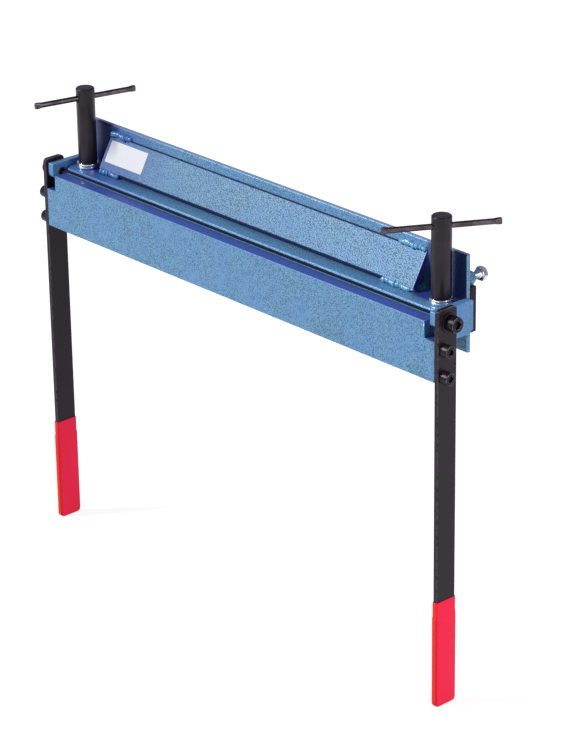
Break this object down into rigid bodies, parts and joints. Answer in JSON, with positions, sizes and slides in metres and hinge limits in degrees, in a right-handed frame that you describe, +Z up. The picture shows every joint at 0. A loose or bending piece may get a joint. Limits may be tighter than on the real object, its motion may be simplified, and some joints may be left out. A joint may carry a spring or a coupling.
{
  "type": "sheet metal brake",
  "caption": "Bench-vice sheet metal brake: angle base, clamp beam under two screw-down nuts with tommy bars, and a folding apron swung by two gripped levers.",
  "frame": {"origin": "middle of the front face of the base's rear leg, the face that a vice's moving jaw presses on", "axes": "+X along the bend line to the right, +Y from the apron to the back, +Z up"},
  "size_m": [0.626, 0.116, 0.5053],
  "materials": {
    "hammered_blue": "hammered enamel",
    "black_steel": "satin black",
    "blackened_bar": "blackened, polished by hand",
    "red_grip": "dipped soft plastic",
    "zinc_plate": "bright zinc",
    "bare_steel": "oiled steel"
  },
  "bodies": {
    "root": {"base_angle": "hammered_blue", "end_plate_left": "hammered_blue", "end_plate_right": "hammered_blue", "spring_cup_left": "hammered_blue", "spring_cup_right": "hammered_blue", "lift_spring_left": "bare_steel", "lift_spring_right": "bare_steel", "clamp_stud_left": "bare_steel", "clamp_stud_right": "bare_steel", "stud_washer_left": "zinc_plate", "stud_washer_right": "zinc_plate", "stud_nut_left": "zinc_plate", "stud_nut_right": "zinc_plate", "guide_strip_left": "black_steel", "guide_strip_right": "black_steel", "pivot_screw_left": "black_steel", "pivot_screw_right": "black_steel", "pivot_washer_left": "black_steel", "pivot_washer_right": "black_steel", "strip_screw_left_upper": "zinc_plate", "strip_screw_left_lower": "zinc_plate", "strip_screw_right_upper": "zinc_plate", "strip_screw_right_lower": "zinc_plate", "adjuster_nut_left": "hammered_blue", "adjuster_nut_right": "hammered_blue"},
    "apron": {"apron_bar": "hammered_blue", "lever_left": "black_steel", "lever_right": "black_steel", "grip_left": "red_grip", "grip_right": "red_grip", "lever_screw_left_upper": "black_steel", "lever_screw_left_lower": "black_steel", "lever_screw_right_upper": "black_steel", "lever_screw_right_lower": "black_steel", "lock_washer_left_upper": "black_steel", "lock_washer_left_lower": "black_steel", "lock_washer_right_upper": "black_steel", "lock_washer_right_lower": "black_steel"},
    "beam": {"clamp_beam": "hammered_blue", "stiffener_plate": "hammered_blue", "clamp_washer_left_1": "zinc_plate", "clamp_washer_left_2": "zinc_plate", "clamp_washer_right_1": "zinc_plate", "clamp_washer_right_2": "zinc_plate"},
    "clamp_nut_left": {"clamp_nut_left": "black_steel"},
    "tommy_bar_left": {"tommy_bar_left": "blackened_bar"},
    "adjuster_screw_left": {"adjuster_screw_left": "zinc_plate"},
    "clamp_nut_right": {"clamp_nut_right": "black_steel"},
    "tommy_bar_right": {"tommy_bar_right": "blackened_bar"},
    "adjuster_screw_right": {"adjuster_screw_right": "zinc_plate"}
  },
  "joints": [
    {"name": "apron_fold", "type": "hinge", "parent": "root", "child": "apron", "pos_m": [0, -0.037, 0.026], "axis": [-1, 0, 0], "range_deg": [0, 94]},
    {"name": "beam_lift", "type": "slide", "parent": "root", "child": "beam", "axis": [0, 0, 1], "range_m": [0, 0.00919], "deforming": ["lift_spring_left", "lift_spring_right"]},
    {"name": "clamp_nut_left_turn", "type": "hinge", "parent": "beam", "child": "clamp_nut_left", "pos_m": [-0.269, -0.016, 0.0374], "axis": [0, 0, 1], "range_deg": [0, 1890]},
    {"name": "tommy_bar_left_slide", "type": "slide", "parent": "clamp_nut_left", "child": "tommy_bar_left", "axis": [0.225, 0.9744, 0], "range_m": [-0.036, 0.036]},
    {"name": "adjuster_screw_left_turn", "type": "hinge", "parent": "root", "child": "adjuster_screw_left", "pos_m": [-0.28, 0.0243, 0.0523], "axis": [0, 1, 0], "range_deg": [0, 360]},
    {"name": "clamp_nut_right_turn", "type": "hinge", "parent": "beam", "child": "clamp_nut_right", "pos_m": [0.269, -0.016, 0.0374], "axis": [0, 0, 1], "range_deg": [0, 1890]},
    {"name": "tommy_bar_right_slide", "type": "slide", "parent": "clamp_nut_right", "child": "tommy_bar_right", "axis": [0.5075, 0.8616, 0], "range_m": [-0.036, 0.036]},
    {"name": "adjuster_screw_right_turn", "type": "hinge", "parent": "root", "child": "adjuster_screw_right", "pos_m": [0.28, 0.0243, 0.0523], "axis": [0, 1, 0], "range_deg": [0, 360]}
  ],
  "couplings": [
    {"joint": "clamp_nut_left_turn", "follows": "beam_lift", "rad_per_m": 3590.4},
    {"joint": "clamp_nut_right_turn", "follows": "beam_lift", "rad_per_m": 3590.4}
  ]
}
